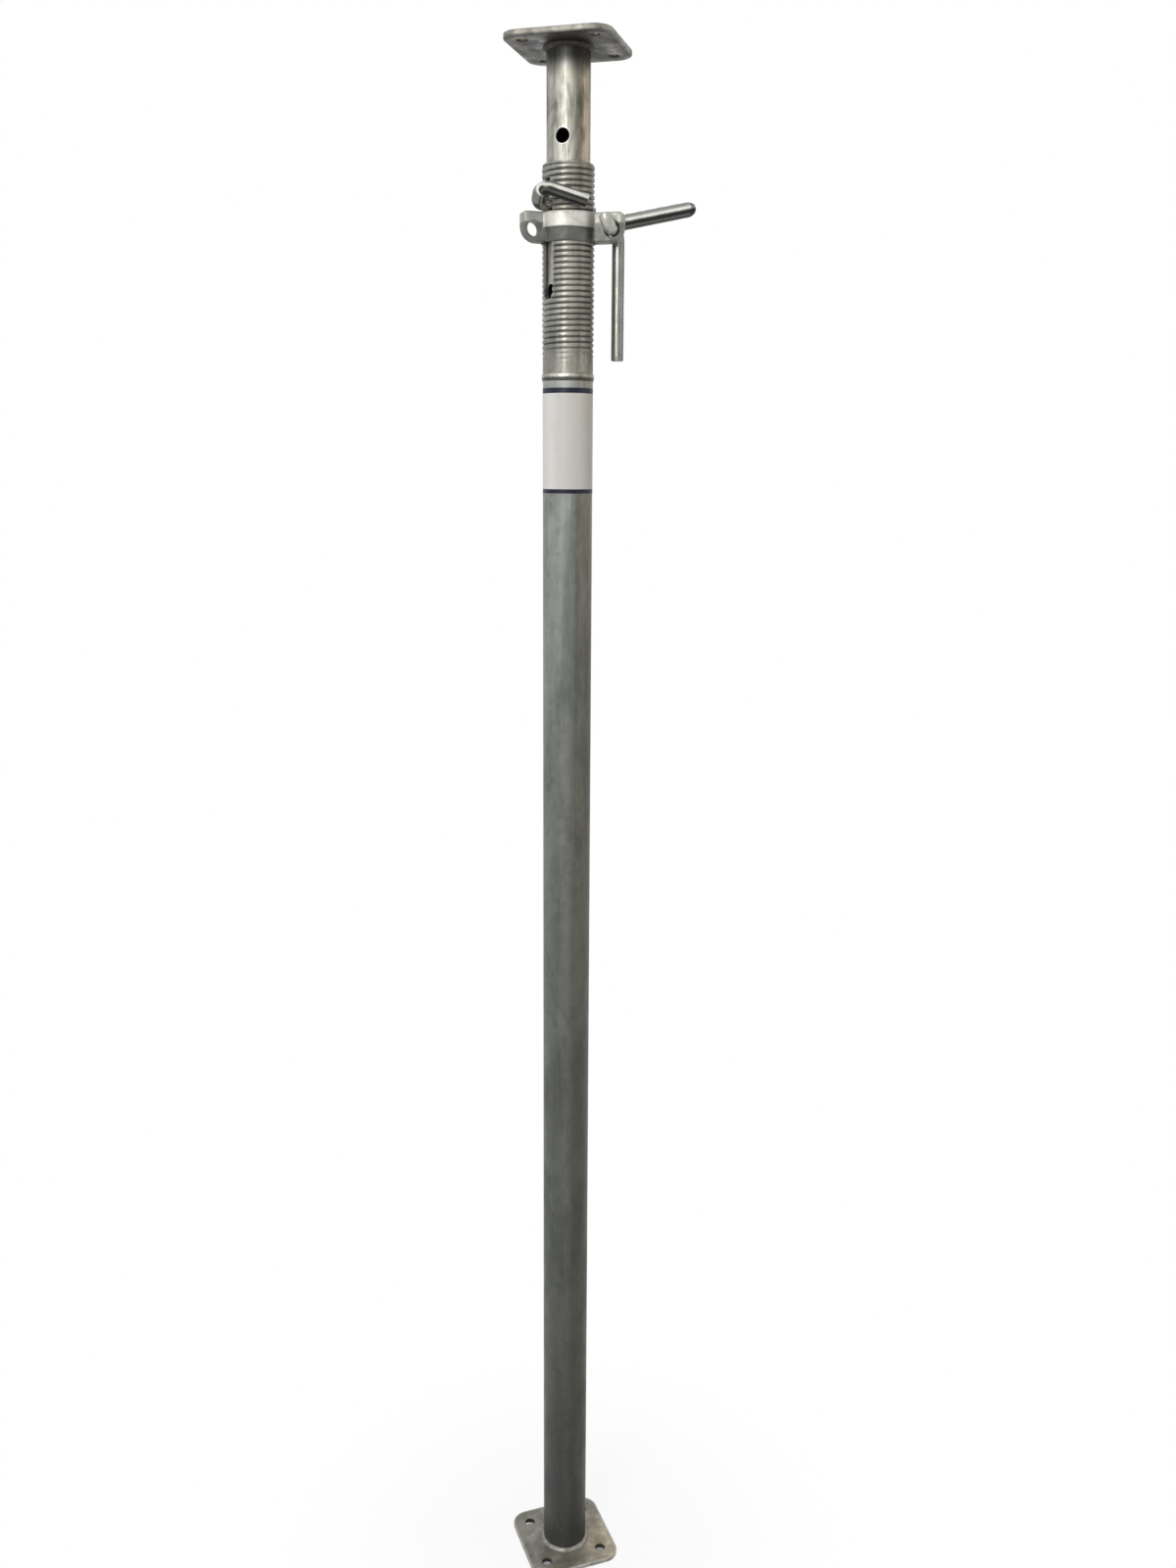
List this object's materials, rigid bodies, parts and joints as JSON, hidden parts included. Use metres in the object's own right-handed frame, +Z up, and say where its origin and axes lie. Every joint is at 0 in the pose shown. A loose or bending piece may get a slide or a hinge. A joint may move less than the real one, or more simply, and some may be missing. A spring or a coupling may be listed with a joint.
{
  "type": "adjustable steel prop",
  "caption": "Telescopic steel prop: slotted threaded outer tube, holed inner tube, bent pin, collar nut with turning bar and swing handle, square foot and head plates.",
  "frame": {"origin": "on the floor, on the tubes' axis, in the middle of the foot plate's fixing holes", "axes": "+Z up along the tubes; the foot plate's sides lie along X and Y"},
  "size_m": [0.2339, 0.1516, 1.891],
  "materials": {
    "plate_zinc": "hot-dip galvanised, dull",
    "tube_zinc": "hot-dip galvanised, matt and blotchy",
    "thread_zinc": "hot-dip galvanised rolled thread",
    "inner_zinc": "hot-dip galvanised, bright and streaky",
    "rod_zinc": "bright zinc rod",
    "cast_zinc": "bright zinc casting",
    "weld_zinc": "galvanised weld bead",
    "foil": "white foil with dark bands"
  },
  "bodies": {
    "outer": {"base_plate": "plate_zinc", "base_weld": "weld_zinc", "outer_tube": "tube_zinc", "sleeve_weld": "weld_zinc", "joint_sleeve": "inner_zinc", "thread_sleeve": "thread_zinc", "label": "foil"},
    "pin": {"g_pin": "rod_zinc"},
    "inner": {"inner_tube": "inner_zinc", "head_plate": "plate_zinc", "head_weld": "weld_zinc", "stop_collar": "inner_zinc"},
    "nut": {"collar_nut": "cast_zinc", "turning_bar": "rod_zinc", "bar_weld": "weld_zinc"},
    "handle": {"swing_handle": "rod_zinc"}
  },
  "joints": [
    {"name": "nut_travel", "type": "slide", "parent": "outer", "child": "pin", "axis": [0, 0, 1], "range_m": [-0.09101, 0.02001]},
    {"name": "telescope", "type": "slide", "parent": "pin", "child": "inner", "axis": [0, 0, 1], "range_m": [0, 1.08]},
    {"name": "nut_turn", "type": "hinge", "parent": "pin", "child": "nut", "pos_m": [0, 0, 1.7], "axis": [0, 0, 1], "range_deg": [-5460, 1200]},
    {"name": "handle_swing", "type": "hinge", "parent": "nut", "child": "handle", "pos_m": [0.04311, -0.02908, 1.6984], "axis": [-0.5592, -0.829, 0], "range_deg": [-8, 90]}
  ],
  "couplings": [
    {"joint": "nut_travel", "follows": "nut_turn", "m_per_rad": 0.00095493}
  ]
}
